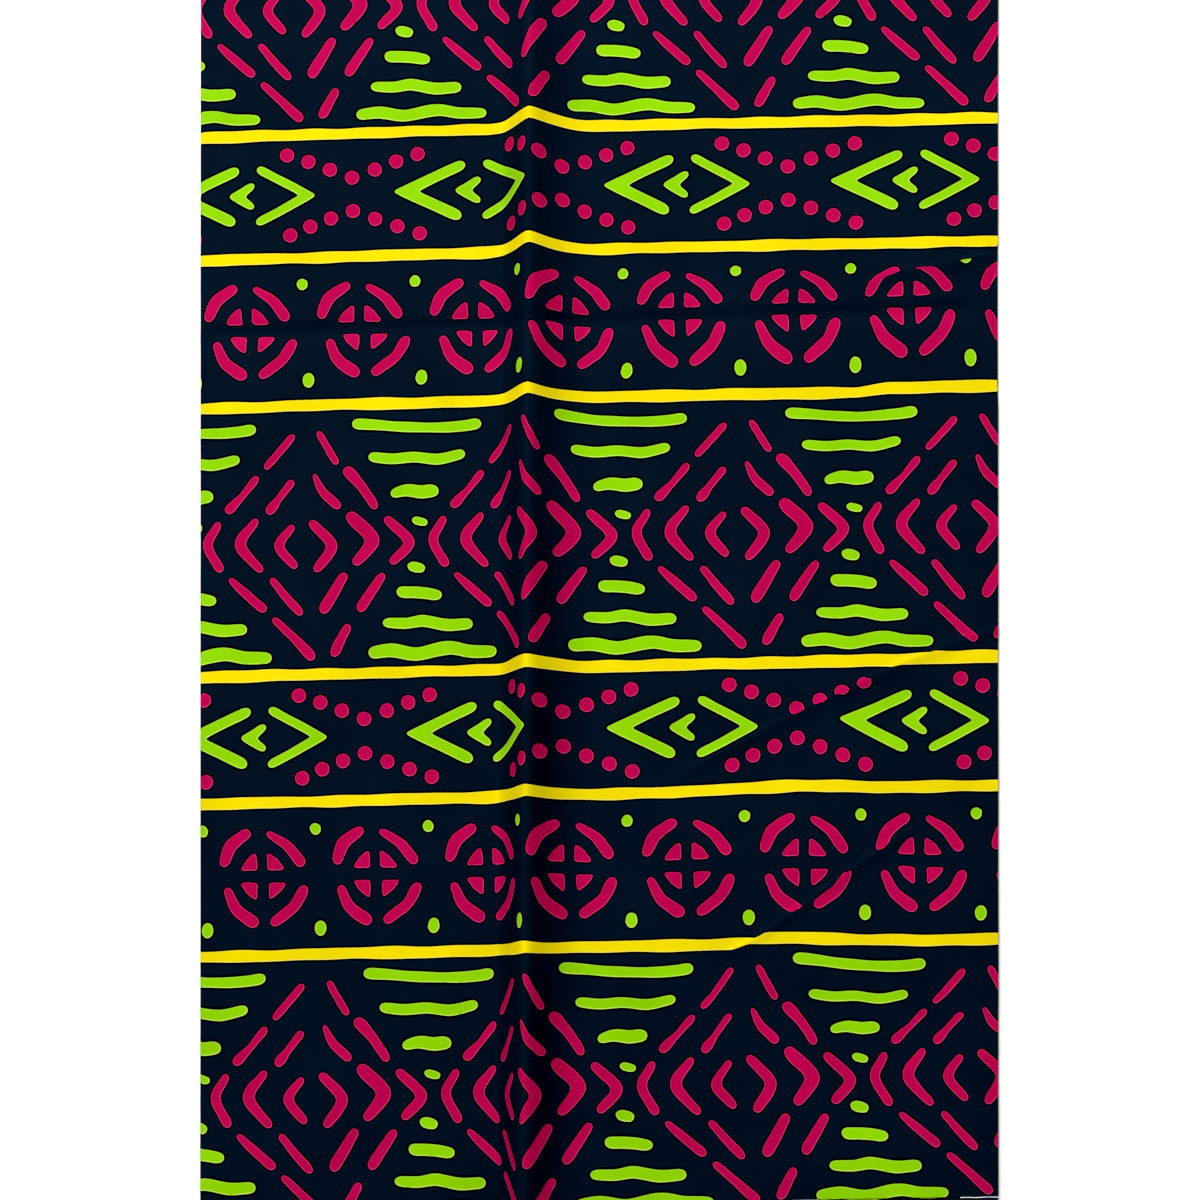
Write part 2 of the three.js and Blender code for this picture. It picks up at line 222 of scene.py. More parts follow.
# Edges of the layers below: how far each ring of points lies past the flat edge and below it
UNDER_RINGS = (
    dict(cut_out=0.2, cut_drop=0.15, fold_out=1.2, fold_drop=0.5),
    dict(cut_out=0.3, cut_drop=0.7, fold_out=1.7, fold_drop=1.36),
    dict(cut_out=0.15, cut_drop=1.15, fold_out=2.66, fold_drop=1.4),
    dict(cut_out=-1.9, cut_drop=1.3, fold_out=2.72, fold_drop=1.75),
    dict(cut_out=-1.2, cut_drop=1.6, fold_out=2.8, fold_drop=2.2),
    dict(cut_out=-1.0, cut_drop=2.2, fold_out=2.76, fold_drop=2.8),
    dict(cut_out=-1.2, cut_drop=2.7, fold_out=2.62, fold_drop=3.3),
    dict(cut_out=-2.3, cut_drop=2.95, fold_out=2.45, fold_drop=3.6),
    dict(cut_out=-0.5, cut_drop=3.2, fold_out=2.2, fold_drop=3.95),
)
FOOT_RINGS = (
    dict(z=0.45, cut_out=-0.3, fold_out=1.8),
    dict(z=0.12, cut_out=-0.4, fold_out=1.35),
    dict(z=0.0, cut_out=-0.8, fold_out=0.9),
)

# Outlines of the marks. Growth makes up for what softening takes off.
LOOP_SPACING = 2.0  # between points round a mark
LONGEST_EDGE, LONGEST_EDGE_STEEP = 4.6, 2.4
MARKS_STEEP_TO = 40
STRAIGHT = 0.07  # the sine of the bend below which a point isn't needed
STROKE_GROWTH = {CRIMSON: 0.25, LIME: 0.3}
DOT_GROWTH, PATCH_GROWTH = 0.1, 0.5
MARK_WOBBLE, LINE_WOBBLE = 0.1, 0.8
CAP_LONG, CAP_WIDE = 0.95, 0.6  # a stroke's blunt end, as shares of its half width there
SHARPEST_MITRE, BEND_CUT, BEND_PULL = 0.42, 0.8, 0.42  # how a stroke's bends are rounded
SIDE_TOLERANCE = 0.12

# Bands of paler ink inside a mark's edge, lightened further by a painted highlight on the edges
# that face the lower right, and of deeper ground outside it
RIM_WIDTH = {CRIMSON: 0.7, LIME: 1.0, YELLOW: 0.9}
HALO_WIDTH = {CRIMSON: 1.2, LIME: 2.0, YELLOW: 1.8}
RIM_EVEN, RIM_PAINTED_HIGHLIGHT, RIM_HIGHLIGHT_SIDE = 0.62, 0.38, (0.5, -0.86)

# Spacing of the mesh on the flat and on the ridge, for what shows and what doesn't
SHOWN = dict(flat=5.6, ridge=2.4, tucks=4)
HIDDEN = dict(flat=9, ridge=2.6, tucks=6)
ROLL_SPACING, BASE_SPACING = 5, 40.0
GAP_TO_LOOPS = 1.15
TROUGH_ROWS = (-13, -9, -4.5, 0, 4.5, 9, 13)
LIP_ROWS = (-14, -10, -7.4, -5.2, -3.4, -1.7, 0, 0.9, 1.8, 3, 5)
ROLL_ROWS = (0.0, 1.3, 2.6)
TOP_EDGE_POINTS = dict(cut_end=210, sides=300, fold=200)
UNDER_EDGE_POINTS = dict(cut_end=200, sides=230, fold=160)
UNDER_SELVEDGE_IN, UNDER_CUT_END_IN = 0.2, 0.3
NEAR_STRIP_TO = -430  # the print of the layers below shows nearer than this
NICK_STRIP_FROM, NICK_STRIP_T = 322, (90, 250)  # and under the nick

# Sizes in the dyed and woven finish. The weave's threads are too fine to show, so its grain
# is drawn three threads wide.
DYE_PATCH, THREAD_SPACING, THREAD_SLUB = 62.5, 0.37, 4.55


def linear(hex_colour):
    """An sRGB hex colour as linear values, as Blender's sockets take them."""
    values = [int(hex_colour[i : i + 2], 16) / 255 for i in (1, 3, 5)]
    return [v / 12.92 if v <= 0.04045 else ((v + 0.055) / 1.055) ** 2.4 for v in values]


def colour_setting(name, description, hex_colour):
    return FloatVectorProperty(
        name=name, description=description, subtype="COLOR", default=linear(hex_colour)
    )


def length_setting(name, description, default):
    return FloatProperty(name=name, description=description, default=default, unit="LENGTH")


class PrintSettings(bpy.types.PropertyGroup):
    ground: colour_setting("Ground", "Navy ground of the print", "#091b2b")
    crimson: colour_setting("Crimson", "Dots, chevrons and circles", "#b2134e")
    lime: colour_setting("Lime", "Diamonds and bars", "#87c91b")
    yellow: colour_setting("Yellow", "Lines between the bands", "#e6d11a")
    line_width: length_setting("Line width", "Width of the yellow lines", 8.2 * MM)
    seed: IntProperty(
        name="Seed",
        description="Changes the small unevenness of the hand-cut marks",
        default=7,
    )


class ClothSettings(bpy.types.PropertyGroup):
    thickness: length_setting("Cloth thickness", "Thickness of the top layer", 0.9 * MM)
    ripple: length_setting("Ripple height", "Of the flat cloth's soft unevenness", 0.45 * MM)
    thread: length_setting("Thread diameter", "Of the loose threads at the cut end", 0.7 * MM)


class StageSettings(bpy.types.PropertyGroup):
    floor: colour_setting("Floor", "Colour of the floor", "#ffffff")
    elevation: FloatProperty(
        name="Camera elevation",
        description="Angle of the view above the horizon",
        default=math.radians(86),
        subtype="ANGLE",
    )
    distance: length_setting("Camera distance", "From the camera to what it looks at", 1.72)
    lens: FloatProperty(
        name="Lens",
        description="Focal length on a 36 mm sensor",
        default=70.5,
        subtype="DISTANCE_CAMERA",
    )


# ---------------------------------------------------------------- the cloth's shape


def lerp(a, b, share):
    return a + (b - a) * share


def smoothstep(x, low, high):
    share = np.clip((x - low) / (high - low), 0, 1)
    return share * share * (3 - 2 * share)


def fading(x, places):
    return 1 - smoothstep(x, *places)


def bell(distance, width):
    return np.exp(-((distance / width) ** 2))


def half_width(y):
    return lerp(HALF_WIDTH_NEAR, HALF_WIDTH_FAR, y / PANEL_LENGTH + 0.5)


def crest_x(y):
    lean = lerp(CREST_LEAN_NEAR, CREST_LEAN_FAR, y / PANEL_LENGTH + 0.5)
    return half_width(y) * (2 * RIDGE_SHARE - 1) + lean


def crest_height(y):
    return lerp(RIDGE_NEAR, RIDGE_FAR, y / PANEL_LENGTH + 0.5)


def ridge_profile(d, crest):
    """Height of the standing crease at d millimetres right of its crest."""
    width = np.where(d < 0, RIDGE_LEFT, RIDGE_RIGHT)
    power = np.where(d < 0, RIDGE_LEFT_POWER, RIDGE_RIGHT_POWER)
    rounded = np.hypot(d, CREST_RADIUS) - CREST_RADIUS
    foot = np.hypot(width, CREST_RADIUS) - CREST_RADIUS
    return crest * np.maximum(0, 1 - rounded / foot) ** power


FAR_OFF = 2000.0
RIDGE_D = np.concatenate(([-FAR_OFF], np.arange(-25.0, 56.0, 0.1), [FAR_OFF]))
RIDGE_CRESTS = np.linspace(16, 33, 12)


def ridge_arcs():
    """For each crest height, the length along the cloth from the crest to each of RIDGE_D."""
    rows = []
    for crest in RIDGE_CRESTS:
        steps = np.hypot(np.diff(RIDGE_D), np.diff(ridge_profile(RIDGE_D, crest)))
        arc = np.concatenate(([0.0], np.cumsum(steps)))
        rows.append(arc - np.interp(0, RIDGE_D, arc))
    return rows


RIDGE_ARCS = ridge_arcs()


def between_crests(crest, table):
    """Reads table, a row for each of RIDGE_CRESTS, at each point's own crest height."""
    place = (crest - RIDGE_CRESTS[0]) / (RIDGE_CRESTS[1] - RIDGE_CRESTS[0])
    low = np.clip(np.floor(place), 0, len(RIDGE_CRESTS) - 2).astype(int)
    column = np.arange(len(low))
    return lerp(table[low, column], table[low + 1, column], place - low)


def across(s, y):
    """Plan x at s millimetres along the cloth from the crest."""
    table = np.array([np.interp(s, arc, RIDGE_D) for arc in RIDGE_ARCS])
    return crest_x(y) + between_crests(crest_height(y), table)


def along_cloth(x, y):
    """The reverse of across."""
    table = np.array([np.interp(x - crest_x(y), RIDGE_D, arc) for arc in RIDGE_ARCS])
    return between_crests(crest_height(y), table)


def on_line(fold, x):
    xs, ys = zip(*fold["line"])
    return np.interp(x, xs, ys)


def tuck_shift(x, t):
    """How far the tucks pull the cloth along, towards the far fold."""
    total = np.zeros_like(t)
    for fold in FOLD_LINES.values():
        if not fold["hides"]:
            continue
        places, widths = zip(*fold["hides"])
        hidden = np.interp(x, places, widths)
        below = on_line(fold, x) - t
        pull = hidden * (1 - smoothstep(below, TUCK_HOLDS, TUCK_REACH))
        total += np.where(below > 0, np.minimum(STEEPEST_PULL * below, pull), 0)
    return total


def plan_of(s, t):
    """Plan place of the cloth at s across from the crest and t along."""
    y = t.copy()
    for _ in range(3):
        x = across(s, y)
        y = t + tuck_shift(x, t)
    return x, y


def line_height(fold, x, y):
    """Height of a tuck's lip, or depth of the crease across."""
    d = y - on_line(fold, x)
    start, end = fold["ends"]
    ends = smoothstep(x, start, start + TUCK_END_LENGTH) * (
        1 - smoothstep(x, end - TUCK_END_LENGTH, end)
    )
    lip = np.where(d < 0, LIP_BELOW, LIP_ABOVE)
    half = TROUGH_HALF_WIDTH if fold["lift"] < 0 else lip
    return fold["lift"] * ends * bell(d, half)


def ripple_height(x, y):
    """Soft unevenness of cloth that has been folded and smoothed out, between -1 and 1."""
    long = np.sin(x / 37 + 1.3 * np.sin(y / 71)) * np.sin(y / 52 + 0.8 * np.sin(x / 90))
    short = np.sin(x / 14.3 + 2.1 * np.sin(y / 33)) * np.sin(y / 19.7 + 1.7 * np.sin(x / 41))
    return 0.7 * long + 0.3 * short


def top_height(x, y, ripple):
    z = STACK + ridge_profile(x - crest_x(y), crest_height(y))
    for fold in FOLD_LINES.values():
        z = z + line_height(fold, x, y)
    return z + ripple * ripple_height(x, y)


HALF_WIDTH_MIDDLE = half_width(0)


def cut_end_y(x):
    return lerp(0, CUT_END_SKEW, x / HALF_WIDTH_MIDDLE / 2 + 0.5) - PANEL_LENGTH / 2


def nick(y):
    """How far the selvedge is pulled in below the short tuck."""
    return (
        NICK_DEPTH
        * smoothstep(y, NICK_NEAR, NICK_FAR - 8)
        * (1 - smoothstep(y, NICK_FAR, NICK_FAR + 6))
    )


class TopLayer:
    """Where the top layer's face lies in space, from its place on the flat cloth."""

    far_t = PANEL_LENGTH / 2 - ROLL_OUT
    cut_end_in = UNDER_ENDS_SHOW

    def __init__(self, ripple):
        self.ripple = ripple

    def left_s(self, t):
        return along_cloth(ROLL_OUT - half_width(t), t)

    def right_s(self, t):
        y = t + tuck_shift(half_width(t), t)
        return along_cloth(half_width(y) - nick(y), y)

    def near_t(self, s):
        t = np.full_like(s, -PANEL_LENGTH / 2)
        for _ in range(3):
            t = cut_end_y(across(s, t)) + self.cut_end_in
        return t

    def points(self, s, t):
        beyond_left = np.maximum(0, self.left_s(t) - s)
        beyond_far = np.maximum(0, t - self.far_t)
        x, y = plan_of(s + beyond_left, t - beyond_far)
        past = np.hypot(beyond_left, beyond_far)
        turn = np.minimum(1, past / ROLL_PATH) * math.pi / 2
        share = ROLL_OUT * np.sin(turn) / np.maximum(past, 1e-9)
        z = top_height(x, y, self.ripple) - ROLL_DROP * (1 - np.cos(turn))
        near = y - cut_end_y(x) - UNDER_ENDS_SHOW
        right = half_width(y) - nick(y) - x
        to_cut = np.maximum(0, np.minimum(near, right))
        droop = EDGE_DROOP * bell(to_cut, EDGE_DROOP_WIDTH)
        z -= droop * (0.7 + 0.5 * np.sin(x / 17 + y / 23))
        return np.column_stack((x - beyond_left * share, y + beyond_far * share, z))


def unit(vectors):
    return vectors / np.maximum(np.linalg.norm(vectors, axis=1, keepdims=True), 1e-9)


def normals_of(place, s, t, step=0.35):
    """Surface normals of place(s, t), facing up."""
    along_s = place(s + step, t) - place(s - step, t)
    along_t = place(s, t + step) - place(s, t - step)
    return unit(np.cross(along_s, along_t))


# ---------------------------------------------------------------- the print


def resampled(polygon, spacing):
    """A closed polygon with points evenly spaced along it."""
    closed = np.vstack((polygon, polygon[:1]))
    length = np.concatenate(([0.0], np.cumsum(np.hypot(*np.diff(closed, axis=0).T))))
    count = max(10, int(round(length[-1] / spacing)))
    places = np.arange(count) * length[-1] / count
    return np.column_stack([np.interp(places, length, closed[:, i]) for i in (0, 1)])


def softened(polygon, passes=2):
    for _ in range(passes):
        polygon = (
            np.roll(polygon, 1, axis=0) + 2 * polygon + np.roll(polygon, -1, axis=0)
        ) / 4
    return polygon


def anticlockwise(polygon):
    x, y = polygon.T
    area = np.sum(x * np.roll(y, -1) - np.roll(x, -1) * y)
    return polygon if area > 0 else polygon[::-1]


def outward(polygon):
    """Outward normal at each point of an anticlockwise polygon."""
    along = unit(np.roll(polygon, -1, axis=0) - np.roll(polygon, 1, axis=0))
    return np.column_stack((along[:, 1], -along[:, 0]))


def mitres(points, half):
    """At each point of a path: the direction square to it, and how far its side lies there."""
    along = unit(np.diff(points, axis=0))
    normal = np.column_stack((-along[:, 1], along[:, 0]))
    before = np.vstack((normal[:1], normal))
    after = np.vstack((normal, normal[-1:]))
    mitre = unit(before + after)
    return along, normal, mitre, half / np.maximum(SHARPEST_MITRE, np.sum(mitre * after, axis=1))


def curved(points, half, steps=6):
    """The path and half widths of a stroke with its bends rounded."""
    along, _, mitre, reach = mitres(points, half)
    turn = np.zeros(len(points))
    turn[1:-1] = along[:-1, 0] * along[1:, 1] - along[:-1, 1] * along[1:, 0]
    points = points - mitre * (np.sign(turn) * (reach - half) * BEND_CUT)[:, None]
    inner = BEND_PULL * (points[2:] - points[:-2])
    tangent = np.vstack((points[1] - points[0], inner, points[-1] - points[-2]))
    u = np.linspace(0, 1, steps, endpoint=False)[:, None]
    ease = u * u * (3 - 2 * u)
    rows, halves = [], []
    for i in range(len(points) - 1):
        rows.append(
            lerp(points[i], points[i + 1], ease)
            + tangent[i] * (u * (1 - u) ** 2)
            - tangent[i + 1] * (u * u * (1 - u))
        )
        halves.append(lerp(half[i], half[i + 1], ease[:, 0]))
    return np.vstack((*rows, points[-1:])), np.concatenate((*halves, half[-1:]))


def stroke_polygon(points, widths, bent):
    """A painted stroke: sides along its path, rounded at its bends if bent, and blunt ends."""
    points = np.array(points, float)
    half = np.array(widths, float) / 2
    if bent and len(points) > 2:
        points, half = curved(points, half)
    along, normal, mitre, reach = mitres(points, half)

    def side(reach):
        places = points + mitre * reach[:, None]
        gaps = np.hypot(*(places[:, None] - points[None]).transpose(2, 0, 1)) - half[None]
        return places[gaps.min(axis=1) > -SIDE_TOLERANCE]

    left, right = side(reach), side(-reach)

    def cap(point, forward, sideways, size):
        middle = point + forward * size * CAP_LONG
        return [middle + sideways * size * CAP_WIDE, middle - sideways * size * CAP_WIDE]

    start = cap(points[0], -along[0], -normal[0], half[0])
    end = cap(points[-1], along[-1], normal[-1], half[-1])
    return np.vstack((left, end, right[::-1], start))


def ellipse(centre, half_across, half_along):
    turn = np.linspace(0, 2 * math.pi, 24, endpoint=False)
    return np.array(centre) + np.column_stack(
        (half_across * np.cos(turn), half_along * np.sin(turn))
    )


def uneven(polygon, dice, size):
    """The polygon with the small unevenness of a hand-cut edge."""
    turn = np.linspace(0, 2 * math.pi, len(polygon), endpoint=False)
    wobble = sum(
        dice.uniform(0.4, 1) * np.sin(lobes * turn + dice.uniform(0, 6.3))
        for lobes in (2, 3, 5, 7)
    )
    return polygon + outward(polygon) * (wobble * size)[:, None]


def squared(points):
    """Chart places with the charted cloth's skew taken out."""
    x, y = np.array(points, float).T
    return np.column_stack((x + CHART_LEAN * y, y - CHART_SLOPE * x))


def repeat_marks(settings):
    """One repeat of the print: (ink, outline) with 0 across at a diamond's centre."""
    dice = random.Random(settings.seed)
    marks = []

    def add(ink, polygon, place, passes, growth):
        polygon = softened(resampled(polygon, LOOP_SPACING), passes)
        polygon = anticlockwise(polygon)
        polygon = uneven(polygon + outward(polygon) * growth, dice, MARK_WOBBLE)
        marks.append((ink, polygon + place))

    def add_motif(strokes, dots, patches, right, below, bent=True):
        place = np.array((right, -below))
        for ink, widths, points in strokes:
            polygon = stroke_polygon(squared(points), widths, bent)
            add(ink, polygon, place, 2 if bent else 3, STROKE_GROWTH[ink])
        for ink, half_across, half_along, centre in dots:
            polygon = ellipse(squared([centre])[0], half_across, half_along)
            add(ink, polygon, place, 0, DOT_GROWTH)
        for ink, corners in patches:
            add(ink, squared(corners), place, 1, PATCH_GROWTH)

    add_motif(DIAMOND_STROKES, DIAMOND_DOTS, (), 0, DIAMONDS_AT, bent=False)
    for turn in (0, 0.5):
        right = turn * REPEAT_ACROSS + CIRCLES_RIGHT
        add_motif(CIRCLE_STROKES, CIRCLE_DOTS, CIRCLE_PATCHES, right, CIRCLES_AT)
    right = 0.25 * REPEAT_ACROSS + LOZENGES_RIGHT
    add_motif(LOZENGE_STROKES, (), (), right, LOZENGES_AT)
    return marks


def line_marks(settings):
    """The yellow lines of one repeat, past both edges of the cloth."""
    dice = random.Random(settings.seed + 1)
    places = np.arange(-420.0, 560.0, 3.4)
    marks = []
    for below in LINES_AT:
        edges = []
        for side in (1, -1):
            wobble = sum(
                dice.uniform(0.15, 0.4) * np.sin(places / wave + dice.uniform(0, 6.3))
                for wave in (41.0, 17.0, 9.0, 6.1)
            )
            height = side * settings.line_width / MM / 2 + LINE_WOBBLE * wobble - below
            edges.append(np.column_stack((places, height)))
        marks.append((YELLOW, anticlockwise(np.vstack((edges[0], edges[1][::-1])))))
    return marks


def crest_shift(s, t):
    """How far the print rises along the cloth beside the crest."""
    left = np.clip(1 + s / CREST_SHIFT_LEFT, 0, 1) ** 1.5
    right = np.clip(1 - s / CREST_SHIFT_RIGHT, 0, 1) ** 2
    height = lerp(CREST_SHIFT_NEAR, CREST_SHIFT_FAR, t / PANEL_LENGTH + 0.5)
    return height * np.where(s < 0, left, right)


def over_ridge(s, t):
    """Draws the print together on the crease's left flank, so that it lies even on the right."""
    extra = along_cloth(crest_x(t) + RIDGE_RIGHT, t) - RIDGE_RIGHT
    past = s - extra
    right = along_cloth(crest_x(t) + np.clip(past, 0, RIDGE_RIGHT), t)
    right += np.maximum(0, past - RIDGE_RIGHT)
    eased = 1 - np.clip(1 + past / SQUEEZE_REACH, 0, 1) ** 2
    left = (past + extra * eased) * LEFT_SHRINK
    return np.where(past > 0, right, left)


def local_pull(s, t):
    """How far the cloth is drawn along from place to place, most below the short tuck."""
    tuck = np.interp(s, *zip(*PULL)) * bell(t - PULL_T, PULL_LONG)
    right = np.maximum(s, 0) * np.interp(t, *zip(*RIGHT_RISE))
    return tuck + right + np.interp(t, *zip(*RISE))


def local_shear(s, t):
    """How far the cloth is drawn to the right from place to place."""
    left = fading(s, LEFT_S_FADES) * fading(t, LEFT_T_FADES)
    left *= LEFT_SHIFT * bell(t - LEFT_SHIFT_T, LEFT_SHIFT_LONG)
    crest = bell(s - CREST_DRAWN_S, CREST_DRAWN_WIDE) * smoothstep(t, *CREST_T_FADES)
    right = np.interp(t, *zip(*RIGHT_SHIFT)) * np.clip(s / RIGHT_SHIFT_WIDE, 0, 1)
    corner = CORNER_SHIFT * np.clip(-(s + CORNER_S) / CORNER_WIDE, 0, 1)
    corner *= fading(t, CORNER_T_FADES)
    circles = bell(t - CIRCLES_T, CIRCLES_LONG) * fading(s, CIRCLES_S_FADES)
    return left + CREST_DRAWN * crest + right + corner + CIRCLES_SHIFT * circles


def print_to_cloth(p, q):
    """Place on the cloth of a point p across and q along the print."""
    t = FIRST_LINE_T + q
    for _ in range(3):
        s = p - CREST_P - CREST_P_PER_T * t
        s = over_ridge(s + CREST_P_TURN * s * t + local_shear(s, t), t)
        slope = np.where(
            s < 0,
            lerp(SLOPE_LEFT_NEAR, SLOPE_LEFT_FAR, t / PANEL_LENGTH + 0.5),
            SLOPE_RIGHT,
        )
        t = FIRST_LINE_T + q + slope * s + crest_shift(s, t) + local_pull(s, t)
    return s, t


def thinned(polygon):
    """The polygon without the points that its straight stretches don't need."""
    kept = [0]
    for i in range(1, len(polygon) - 1):
        before = polygon[i] - polygon[kept[-1]]
        after = polygon[i + 1] - polygon[i]
        length = math.hypot(*before)
        bend = abs(before[0] * after[1] - before[1] * after[0])
        straight = bend < STRAIGHT * length * math.hypot(*after)
        steep = STEEP_FROM < polygon[i][0] < MARKS_STEEP_TO
        limit = LONGEST_EDGE_STEEP if steep else LONGEST_EDGE
        if straight and length + math.hypot(*after) < limit:
            continue
        kept.append(i)
    kept.append(len(polygon) - 1)
    return polygon[kept]


class Mark:
    """One inked shape on the cloth, with the loops that shade its edge inside and out."""

    def __init__(self, ink, outline):
        self.ink = ink
        self.outline = outline
        normals = outward(outline)
        # rim strength: an even paler band, plus a painted highlight on the edges that face the
        # lower right
        self.rim = RIM_EVEN + RIM_PAINTED_HIGHLIGHT * (normals @ np.array(RIM_HIGHLIGHT_SIDE))
        self.inside = thinned(outline - normals * RIM_WIDTH[ink])
        self.outside = thinned(outline + normals * HALO_WIDTH[ink])


def marks_on_cloth(settings, keep):
    """The marks of which some point satisfies keep(s, t), placed on the flat cloth."""
    lines, repeat = line_marks(settings), repeat_marks(settings)
    placed = []
    for row in ROWS:
        drop = row * REPEAT_ALONG
        placed.extend((ink, polygon - np.array((0, drop))) for ink, polygon in lines)
        for ink, polygon in repeat:
            for column in COLUMNS:
                shift = np.array((column * REPEAT_ACROSS, -drop))
                placed.append((ink, polygon + shift))
    marks = []
    for ink, polygon in placed:
        s, t = print_to_cloth(*polygon.T)
        if keep(s, t).any():
            marks.append(Mark(ink, thinned(np.column_stack((s, t)))))
    return marks


INKS = ("ground", CRIMSON, LIME, YELLOW)  # in the order of the cloth's materials


def nearest_of(places):
    """A tree that finds the nearest of flat places."""
    tree = KDTree(len(places))
    for i, place in enumerate(places):
        tree.insert((place[0], place[1], 0), i)
    tree.balance()
    return tree


class FlatSheet:
    """Triangles of a flat sheet with its print cut out in them."""

    def __init__(self, boundary, marks, fill):
        points, faces, inks = [], [], []
        rim, halo = [], []

        def add_loop(loop, rims, halos, ink=0):
            start = len(points)
            points.extend(map(Vector, loop))
            rim.extend(rims)
            halo.extend(halos)
            faces.append(list(range(start, start + len(loop))))
            inks.append(ink)

        def add_plain_loop(loop):
            add_loop(loop, [0] * len(loop), [0] * len(loop))

        add_plain_loop(boundary)
        for mark in marks:
            add_loop(mark.outline, mark.rim, [1] * len(mark.outline), INKS.index(mark.ink))
            add_plain_loop(mark.inside)
            add_plain_loop(mark.outside)
        tree = nearest_of(points)
        for place in fill:
            if tree.find((place[0], place[1], 0))[2] > GAP_TO_LOOPS:
                points.append(Vector(place))
                rim.append(0)
                halo.append(0)
        found, _, triangles, sources, _, owners = delaunay_2d_cdt(
            points, [], faces, 0, 1e-5, True
        )
        kept = [i for i, owner in enumerate(owners) if 0 in owner]
        used = sorted({v for i in kept for v in triangles[i]})
        number = {v: i for i, v in enumerate(used)}
        self.flat = np.array([found[v][:] for v in used])
        self.rim = [max((rim[i] for i in sources[v]), default=0.0) for v in used]
        self.halo = [max((halo[i] for i in sources[v]), default=0.0) for v in used]
        self.boundary = [0] * len(boundary)  # the vertex at each of the boundary's points
        for v in used:
            for source in sources[v]:
                if source < len(boundary):
                    self.boundary[source] = number[v]
        self.triangles, self.inks = [], []
        for i in kept:
            a, b, c = (number[v] for v in triangles[i])
            (ax, ay), (bx, by), (cx, cy) = self.flat[[a, b, c]]
            if (bx - ax) * (cy - ay) - (by - ay) * (cx - ax) < 0:
                b, c = c, b
            self.triangles.append((a, b, c))
            self.inks.append(max((inks[owner] for owner in owners[i]), default=0))
        self.edge = edge_loop(self.triangles)


def edge_loop(triangles):
    """The vertices round the outside of anticlockwise triangles, in order."""
    once = {}
    for a, b, c in triangles:
        for edge in ((a, b), (b, c), (c, a)):
            if edge[::-1] in once:
                del once[edge[::-1]]
            else:
                once[edge] = True
    after = dict(once.keys())
    start = next(iter(after))
    loop = [start]
    while after[loop[-1]] != start:
        loop.append(after[loop[-1]])
    if len(loop) != len(after):
        raise RuntimeError("the sheet's edge isn't one loop")
    return loop


# ---------------------------------------------------------------- meshes


class Shell:
    """Collects the points and faces of one closed surface, with its flat layout."""

    def __init__(self):
        self.points, self.faces, self.normals = [], [], []
        self.layout, self.inks, self.rim, self.halo = [], [], [], []

    def add_points(self, places, normals=None, rim=0.0, halo=0.0):
        start = sum(map(len, self.points))
        self.points.append(places)
        self.normals.append(np.zeros_like(places) if normals is None else normals)
        self.rim.append(np.broadcast_to(rim, len(places)))
        self.halo.append(np.broadcast_to(halo, len(places)))
        return np.arange(start, start + len(places))

    def add_faces(self, faces, corners, inks):
        """faces of vertex numbers, with the flat layout place of each of their corners."""
        self.faces.extend(tuple(map(int, face)) for face in faces)
        self.layout.append(corners)
        self.inks.extend(inks)

    def add_sheet(self, sheet, ids, underside=False):
        """The triangles of a flat sheet on the points ids, turned over for an underside."""
        triangles = np.array(sheet.triangles)
        if underside:
            triangles = triangles[:, ::-1]
        corners = layout_of(sheet.flat[triangles.ravel()], underside)
        self.add_faces(ids[triangles], corners, sheet.inks)

    def join(self, upper, lower, corner_of):
        """A band of plain quads between two rings of vertex numbers, the upper one first."""
        here = np.arange(len(upper))
        beside = (here + 1) % len(upper)
        quads = np.column_stack((upper, lower, lower[beside], upper[beside]))
        order = np.column_stack((here, here, beside, beside)).ravel()
        self.add_faces(quads, corner_of[order], [0] * len(upper))

    def mesh(self, name, materials):
        points = np.vstack(self.points)
        points[:, :2] += CENTRE
        made = bpy.data.meshes.new(name)
        made.from_pydata((points * MM).tolist(), [], self.faces)
        made.polygons.foreach_set("material_index", self.inks)
        made.polygons.foreach_set("use_smooth", [True] * len(self.faces))
        layout = made.uv_layers.new(name="OFBake")
        layout.uv.foreach_set("vector", np.vstack(self.layout).ravel())
        for label, values in (("rim", self.rim), ("halo", self.halo)):
            made.attributes.new(label, "FLOAT", "POINT").data.foreach_set(
                "value", np.concatenate(values)
            )
        for material in materials:
            made.materials.append(material)
        made.validate()
        made.update()
        made.normals_split_custom_set_from_vertices(np.vstack(self.normals).tolist())
        piece = bpy.data.objects.new(name, made)
        bpy.context.collection.objects.link(piece)
        return piece


LAYOUT_SCALE = 1 / 960.0  # millimetres of flat cloth to the layout's unit square
LAYOUT_CORNER = (275.0, 470.0)
UNDERSIDE_SCALE, UNDERSIDE_CORNER = 0.42, (0.7, 0.02)


def layout_of(flat, underside=False):
    """Places in the unit square: the face on the left, the small underside beside it."""
    flat = np.asarray(flat, float)
    face = (flat + np.array(LAYOUT_CORNER)) * LAYOUT_SCALE
    if underside:
        face = face * UNDERSIDE_SCALE + np.array(UNDERSIDE_CORNER)
    return face


def at_one(edge, place):
    """The value of an edge's function at a single place."""
    return float(edge(np.array([place]))[0])


def rows_across(layer, spacing, fine):
    """Staggered rows of points, even on the flat and close together over the ridge."""
    points = []
    for i, t in enumerate(np.arange(-PANEL_LENGTH / 2 - 2, layer.far_t, spacing)):
        left, right = at_one(layer.left_s, t), at_one(layer.right_s, t)
        flat = np.arange(left + 1.5 + spacing / 2 * (i % 2), right - 1.5, spacing)
        flat = flat[(flat < STEEP_FROM) | (flat > STEEP_TO)]
        steep = np.arange(STEEP_FROM, STEEP_TO, fine) + fine / 2 * (i % 2)
        steep = steep[np.abs(steep) > CREST_TOP]
        crest = np.arange(-CREST_TOP_ROWS, CREST_TOP, fine / 2)
        points.extend((s, t) for s in np.concatenate((flat, steep, crest)))
    return points


